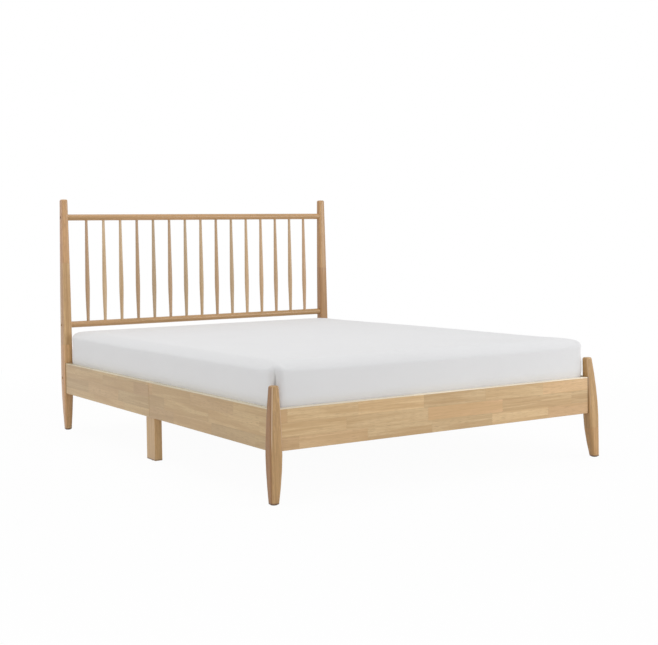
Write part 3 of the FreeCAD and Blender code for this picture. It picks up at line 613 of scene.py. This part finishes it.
def mattress_form(cover):
    """A box with rounded upright corners and rounded upper and lower edges. The plan corner zones go from
    squares to quarter discs; then the zones within one radius of the upper or lower edge do the same in
    height. The top rises to its middle as one minus the square of the share of each half side."""
    low = MATTRESS_LOW + cover.swell
    high = MATTRESS_HIGH - cover.swell
    low[2] = MATTRESS_LOW[2]
    middle = (low + high) / 2
    half = (high - low) / 2
    plan_axes = [graded(-side, side, edges=(0.042, 0.042), fine=0.006, coarse=0.024) for side in half[:2]]
    lower = graded(low[2], PARTING, edges=(0.016, 0.026), fine=0.0055, coarse=0.018)
    upper = graded(PARTING, high[2], edges=(0.018, 0.036), fine=0.009, coarse=0.018)
    points, quads = box_grid([*plan_axes, np.concatenate([lower, upper[1:]])])
    flat, height = points[:, :2], points[:, 2]
    inner = np.clip(flat, cover.plan_round - half[:2], half[:2] - cover.plan_round)
    out = flat - inner
    inset = (half[:2] - np.abs(flat)).min(1)
    out = out * square_to_round(out[:, 0], out[:, 1])[:, None]
    length = np.linalg.norm(out, axis=1, keepdims=True)
    normal = np.divide(out, length, out=np.zeros_like(out), where=length > 0)
    plan = inner + out + stand_out(flat, half, height, cover)[:, None] * normal
    for radius, gap, sign in ((cover.top_round, high[2] - height, 1.0),
                              (cover.base_round, height - low[2], -1.0)):
        side = np.maximum(radius - inset, 0.0)
        rise = np.maximum(radius - gap, 0.0)
        share = square_to_round(side, rise) - 1.0
        both = (side > 0) & (rise > 0)
        plan = plan + np.where(both, side * share, 0.0)[:, None] * normal
        height = height + sign * np.where(both, rise * share, 0.0)
    bow = np.clip(1 - (plan / half[:2]) ** 2, 0, 1).prod(1)
    raised = np.clip((height - middle[2]) / (high[2] - middle[2]), 0, 1)
    height = height - cover.crown * raised * (1 - bow)
    return np.column_stack([plan + middle[:2], height]), quads


def new_piece(name, points, faces, material):
    """A smooth mesh object at the origin from an array of points and a list of faces."""
    mesh = bpy.data.meshes.new(name)
    mesh.from_pydata(points.tolist(), [], faces)
    mesh.polygons.foreach_set("use_smooth", np.ones(len(mesh.polygons), bool))
    mesh.materials.append(material)
    mesh.update()
    piece = bpy.data.objects.new(name, mesh)
    bpy.context.scene.collection.objects.link(piece)
    return piece


def mesh_points(mesh):
    """The points of a mesh as an array with one row for each."""
    points = np.empty(len(mesh.vertices) * 3)
    mesh.vertices.foreach_get("co", points)
    return points.reshape(-1, 3)


def move_points(mesh, points):
    """Puts the points of a mesh where the rows of an array say."""
    mesh.vertices.foreach_set("co", points.ravel())
    mesh.update()


def inflate(piece, cover):
    """Fills the cover by cloth simulation under pressure. The upper and lower panels are tied most in their
    middle. No point moves further than the cap or past the CAD solid by more than it may stand out."""
    rest = mesh_points(piece.data)
    flat = rest[:, :2] - MATTRESS_MIDDLE[:2]
    share = np.abs(flat) / MATTRESS_HALF[:2]
    tied = np.round(np.clip((TIE_EDGE - share.max(1)) / TIE_FADE, 0, 1) * TIE, 1)
    group = piece.vertex_groups.new(name="tied")
    for weight in np.unique(tied):
        group.add(np.flatnonzero(tied == weight).tolist(), float(weight), "REPLACE")
    cloth = piece.modifiers.new("Fill", "CLOTH")
    cloth.settings.use_pressure = True
    cloth.settings.uniform_pressure_force = FILL_PRESSURE
    cloth.settings.effector_weights.gravity = 0.0
    cloth.settings.vertex_group_mass = group.name
    cloth.settings.quality = FILL_QUALITY
    cloth.point_cache.frame_start = 1
    cloth.point_cache.frame_end = FILL_FRAMES
    scene = bpy.context.scene
    for number in range(1, FILL_FRAMES + 1):
        scene.frame_set(number)
    graph = bpy.context.evaluated_depsgraph_get()
    moved = mesh_points(piece.evaluated_get(graph).data) - rest
    piece.modifiers.remove(cloth)
    piece.vertex_groups.remove(group)
    scene.frame_set(1)
    length = np.linalg.norm(moved, axis=1, keepdims=True)
    where = (flat, MATTRESS_HALF[:2], rest[:, 2])
    capped = np.divide(FILL_CAP, length, out=np.ones_like(length), where=length > FILL_CAP)
    moved = moved * capped * (1 - beside_post(*where))[:, None]
    over = stand_out(*where, cover)[:, None] * np.array([1.0, 1.0, 0.0])
    move_points(piece.data, np.clip(rest + moved, MATTRESS_LOW - over, MATTRESS_HIGH + over))


def tuck_corners(piece, cover):
    """Presses a crease into each upright corner where a post stands against it. The depth falls with the
    square of the distance from the corner's middle plane, over a width that grows downwards, and fades out
    above the foot posts' tops."""
    points = mesh_points(piece.data)
    flat = points[:, :2] - MATTRESS_MIDDLE[:2]
    away = np.abs(flat) - MATTRESS_HALF[:2]
    aside = np.abs(away[:, 0] - away[:, 1]) / math.sqrt(2)
    inset = -(away[:, 0] + away[:, 1]) / math.sqrt(2)
    fade = 1 - smooth_step(points[:, 2], 0.0, (TUCK_START, POST_TOP + cover.tuck_reach))
    least, growth = TUCK_WIDTH
    depth = cover.tuck * np.sqrt(fade) * np.exp(-(aside / (least + growth * fade)) ** 2)
    depth = depth * (1 - smooth_step(inset, 0.0, TUCK_INSET))
    points[:, :2] -= np.sign(flat) * (depth / math.sqrt(2))[:, None]
    move_points(piece.data, points)


class BED_OT_posts(bpy.types.Operator):
    """Finishes the four corner posts and the two mid legs"""
    bl_idname = "bed.posts"
    bl_label = "Posts and legs"

    def execute(self, context):
        bed = context.scene.bed
        # painted shade along the bottom of each post and mid leg, just above the glides
        grain = dict(spread=85.0, shaded_ends=(GLIDE_TOP,))
        length = bed.posts.length
        whole = 4 * length      # a foot post is much shorter, so it is one block
        # Each look darkens the sides that face along X with painted shade; some also paint a highlight on
        # the upper upright corner
        looks = {
            "head_post_left": dict(block=length, seed=9.3, level=1.04, cast=(1.0, 0.99, 1.1),
                                   flank_shade=(0.12, 0.18, 0.1), corner_highlight=0.15),
            "head_post_right": dict(block=length, seed=3.3, level=0.86, cast=(1.0, 0.92, 0.95),
                                    flank_shade=(0.08, 0.14, 0.2)),
            "foot_post_left": dict(block=whole, seed=1.3, level=0.84,
                                   flank_shade=(0.4, 0.55, 0.74), corner_highlight=0.8),
            "foot_post_right": dict(block=whole, seed=5.3, level=0.92,
                                    flank_shade=(0.0, 0.03, 0.08), corner_highlight=0.3),
        }
        for name, look in looks.items():
            dress(stave_wood(f"Oiled wood {name}", bed.posts, "Z", "X", lane=0.41, **look, **grain), name)
        # the mid legs' sides that face along X get painted shade
        legs = stave_wood("Oiled wood mid legs", bed.boards, "Z", "Y", lane=0.3, block=2.0, seed=2.6,
                          level=1.04, cast=WARM, flank_shade=(0.24, 0.25, 0.26), **grain)
        dress(legs, "mid_leg_left", "mid_leg_right")
        return {"FINISHED"}


class BED_OT_headboard(bpy.types.Operator):
    """Finishes the turned bars and spindles of the headboard"""
    bl_idname = "bed.headboard"
    bl_label = "Bars and spindles"

    def execute(self, context):
        bed = context.scene.bed
        names = numbered("spindle")
        first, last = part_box(names[0]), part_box(names[-1])
        pitch = abs((last[0] + last[1]).x - (first[0] + first[1]).x) / 2 / (len(names) - 1)
        spindles = turned_wood("Turned wood spindles", bed.boards, "Z", pitch=pitch, seed=5.2,
                               level=0.82, cast=(1.0, 1.03, 1.17))
        dress(spindles, *names)
        far = 9.0               # with so wide a pitch, only the row tells the bars apart
        bars = turned_wood("Turned wood bars", bed.posts, "X", pitch=far, seed=1.4,
                           level=0.88, cast=(1.0, 1.03, 1.12))
        dress(bars, "headboard_top_bar", "headboard_bottom_bar")
        return {"FINISHED"}


class BED_OT_boards(bpy.types.Operator):
    """Finishes the side rails, the footboard and the lower headboard panel"""
    bl_idname = "bed.boards"
    bl_label = "Rails and panels"

    def execute(self, context):
        wood = context.scene.bed.boards
        staves = dict(lane=wood.stave, block=wood.block)
        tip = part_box("side_rail_left_head")[1].y - HOUSING
        for end, seed in (("foot", 3.35), ("head", 8.6)):
            # painted highlight along the rail tops, and painted shade at the head end by the post
            rail = stave_wood(f"Oiled wood rails {end}", wood, "Y", "Z", **staves, seed=seed,
                              level=0.75, cast=WARM, highlight_rims=(RAIL_TOP,), shaded_ends=(tip,))
            dress(rail, f"side_rail_left_{end}", f"side_rail_right_{end}")
        for name, end, seed in (("footboard_panel", "foot", 5.35), ("headboard_lower_panel", "head", 9.35)):
            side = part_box(f"{end}_post_right")[0].x
            # painted highlight along the panel's top edge, and painted shade at its end by the right post
            panel = stave_wood(f"Oiled wood {name}", wood, "X", "Z", **staves, seed=seed,
                               highlight_rims=(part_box(name)[1].z,), shaded_ends=(side,))
            dress(panel, name)
        return {"FINISHED"}


class BED_OT_base(bpy.types.Operator):
    """Finishes the slats, their ribbons, the cleats, the centre beam and its leg"""
    bl_idname = "bed.base"
    bl_label = "Slat base"

    def execute(self, context):
        bed = context.scene.bed
        dress(plain_wood("Softwood slats", bed.base, "X", seed=2.0), *numbered("slat"))
        dress(plain_wood("Softwood beams", bed.base, "Y", seed=6.0), "centre_beam_foot", "centre_beam_head",
              *[f"slat_cleat_{side}_{end}" for side in ("left", "right") for end in ("foot", "head")])
        dress(plain_wood("Softwood leg", bed.base, "Z", seed=9.0), "centre_leg")
        dress(woven_ribbon("Woven ribbon", bed.metal.ribbon), "slat_ribbons")
        return {"FINISHED"}


class BED_OT_fasteners(bpy.types.Operator):
    """Finishes the steel fasteners, the hangers and the floor glides"""
    bl_idname = "bed.fasteners"
    bl_label = "Fasteners and glides"

    def execute(self, context):
        metal = context.scene.bed.metal
        zinc = brushed_steel("Zinc steel", metal.zinc, metal=1.0, rough=0.28)
        dress(zinc, "rail_studs", "crescent_washers", "stud_nuts")
        black = brushed_steel("Black steel", metal.black, metal=0.6, rough=0.42)
        # black on the headboard bolts is painted shade: it stands for the shadow in their recesses
        dress(black, "headboard_bolts", "mid_leg_bolts", "beam_hanger_foot", "beam_hanger_head")
        dress(moulded_plastic("Glide plastic", metal.glide), "floor_glides")
        return {"FINISHED"}


class BED_OT_mattress(bpy.types.Operator):
    """Makes the padded mattress in the space of its plain solid"""
    bl_idname = "bed.mattress"
    bl_label = "Mattress"

    def execute(self, context):
        cover = context.scene.bed.cover
        points, quads = mattress_form(cover)
        piece = new_piece("padded_mattress", points, quads.tolist(), knitted_cover("Knitted cover", cover))
        inflate(piece, cover)
        tuck_corners(piece, cover)
        soft = piece.modifiers.new("Soft", "SUBSURF")
        soft.levels = soft.render_levels = 1
        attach(piece, "mattress")
        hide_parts("mattress")
        return {"FINISHED"}


class BED_OT_stage(bpy.types.Operator):
    """Makes the floor, the light and the camera"""
    bl_idname = "bed.stage"
    bl_label = "Floor, light and camera"

    def execute(self, context):
        stage = context.scene.bed.stage
        self.floor(stage)
        self.sky(context.scene, stage)
        for name, watts, width, place, target in (
                ("Key lamp", stage.key, (3.2, 2.4), (3.6, -3.9, 1.9), (0.2, 0.0, 0.4)),
                ("Top lamp", stage.top, (4.0, 4.0), (-0.9, 0.2, 4.4), (-0.9, 0.1, 0.0)),
                ("Side lamp", stage.side, (1.2, 1.6), (-5.0, 0.4, 1.4), (-0.8, 0.2, 0.4))):
            self.lamp(name, watts, width, Vector(place), Vector(target))
        self.camera(context.scene, stage)
        context.scene.view_settings.view_transform = "Standard"
        return {"FINISHED"}

    @staticmethod
    def floor(stage):
        """A wide disc: rings of points whose radius grows by a fixed ratio, round a face with many sides. To
        the camera it glows white, a little less so near the bed, which leaves a soft shadow there."""
        turns = np.linspace(0, math.tau, FLOOR_SPOKES, endpoint=False)
        radii = np.geomspace(FLOOR_HUB, FLOOR_REACH, FLOOR_RINGS)
        turn, ring = np.meshgrid(turns, radii, indexing="ij")
        level = np.full_like(ring, -FLOOR_DROP)
        points = np.stack([ring * np.cos(turn), ring * np.sin(turn), level], -1).reshape(-1, 3)
        number = np.arange(turn.size).reshape(turn.shape)
        quads = grid_quads(number, np.roll(number, -1, axis=0))[:, ::-1]
        finish = Finish("Pale floor")
        place = finish.place()
        x, y, _ = place
        speck = finish.noise(place, waves=(3.0, 3.0, 1.0), detail=3.0)
        shader = finish.principled(Base_Color=finish.lighten(speck, 0.985, stage.floor), Roughness=1.0,
                                   Specular_IOR_Level=0.0)
        glow = finish.node("ShaderNodeEmission", None, {"Color": WHITE, "Strength": 1.0})
        share = FLOOR_GLOW + (1.0 - FLOOR_GLOW) * ((x * x + y * y) ** 0.5).ramp(*FLOOR_FADE)
        both = finish.node("ShaderNodeMixShader", None, {0: finish.seen() * share, 1: shader, 2: glow})
        finish.node("ShaderNodeOutputMaterial", None, {0: both})
        disc = new_piece("floor", points, [*quads.tolist(), number[:, 0].tolist()], finish.owner)

    @staticmethod
    def sky(scene, stage):
        """Even light from all round, and white where the camera or a mirror sees it."""
        finish = Finish("Even sky", "worlds")
        light, white = [finish.node("ShaderNodeBackground", None, {"Color": WHITE, "Strength": strength})
                        for strength in (stage.sky, 1.0)]
        both = finish.node("ShaderNodeMixShader", None, {0: finish.seen(), 1: light, 2: white})
        finish.node("ShaderNodeOutputWorld", None, {0: both})
        scene.world = finish.owner

    @staticmethod
    def lamp(name, watts, width, place, target):
        """A rectangular lamp that faces its target."""
        data = bpy.data.lights.new(name, "AREA")
        data.energy = watts
        data.shape = "RECTANGLE"
        data.size, data.size_y = width
        made = bpy.data.objects.new(name, data)
        made.location = place
        made.rotation_euler = (target - place).to_track_quat("-Z", "Y").to_euler()
        bpy.context.scene.collection.objects.link(made)

    @staticmethod
    def camera(scene, stage):
        """The camera looks along its turned and dipped axis; its right and up directions are then tilted."""
        turn, dip, tilt = stage.aim
        ahead = Vector((math.sin(turn) * math.cos(dip), math.cos(turn) * math.cos(dip), -math.sin(dip)))
        right = Vector((math.cos(turn), -math.sin(turn), 0.0))
        up = right.cross(ahead)
        level = math.cos(tilt) * right + math.sin(tilt) * up
        upright = math.cos(tilt) * up - math.sin(tilt) * right
        data = bpy.data.cameras.new("Camera")
        data.sensor_width = SENSOR
        data.lens = stage.lens
        data.shift_x, data.shift_y = stage.shift
        made = bpy.data.objects.new("Camera", data)
        made.matrix_world = Matrix((level, upright, -ahead)).transposed().to_4x4()
        made.location = stage.stand
        scene.collection.objects.link(made)
        scene.camera = made


class BED_PT_panel(bpy.types.Panel):
    """Lists the steps and the settings of the bed"""
    bl_idname = "BED_PT_panel"
    bl_label = "Bed"
    bl_space_type = "VIEW_3D"
    bl_region_type = "UI"
    bl_category = "Bed"

    def draw(self, context):
        for step in STEPS:
            self.layout.operator(step.bl_idname)
        bed = context.scene.bed
        for group in (bed.boards, bed.posts, bed.base, bed.cover, bed.metal, bed.stage):
            box = self.layout.box()
            for key in group.bl_rna.properties.keys():
                if key not in {"rna_type", "name"}:
                    box.prop(group, key)


STEPS = (BED_OT_posts, BED_OT_headboard, BED_OT_boards, BED_OT_base, BED_OT_fasteners, BED_OT_mattress,
         BED_OT_stage)
CLASSES = (BoardWood, PostWood, BaseWood, Cover, Metal, Stage, BedSettings, *STEPS, BED_PT_panel)


def register():
    for item in CLASSES:
        bpy.utils.register_class(item)
    bpy.types.Scene.bed = PointerProperty(type=BedSettings)


def unregister():
    del bpy.types.Scene.bed
    for item in reversed(CLASSES):
        bpy.utils.unregister_class(item)


def main():
    """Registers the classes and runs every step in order."""
    register()
    bpy.ops.bed.posts()
    bpy.ops.bed.headboard()
    bpy.ops.bed.boards()
    bpy.ops.bed.base()
    bpy.ops.bed.fasteners()
    bpy.ops.bed.mattress()
    bpy.ops.bed.stage()


if __name__ == "__main__":
    main()
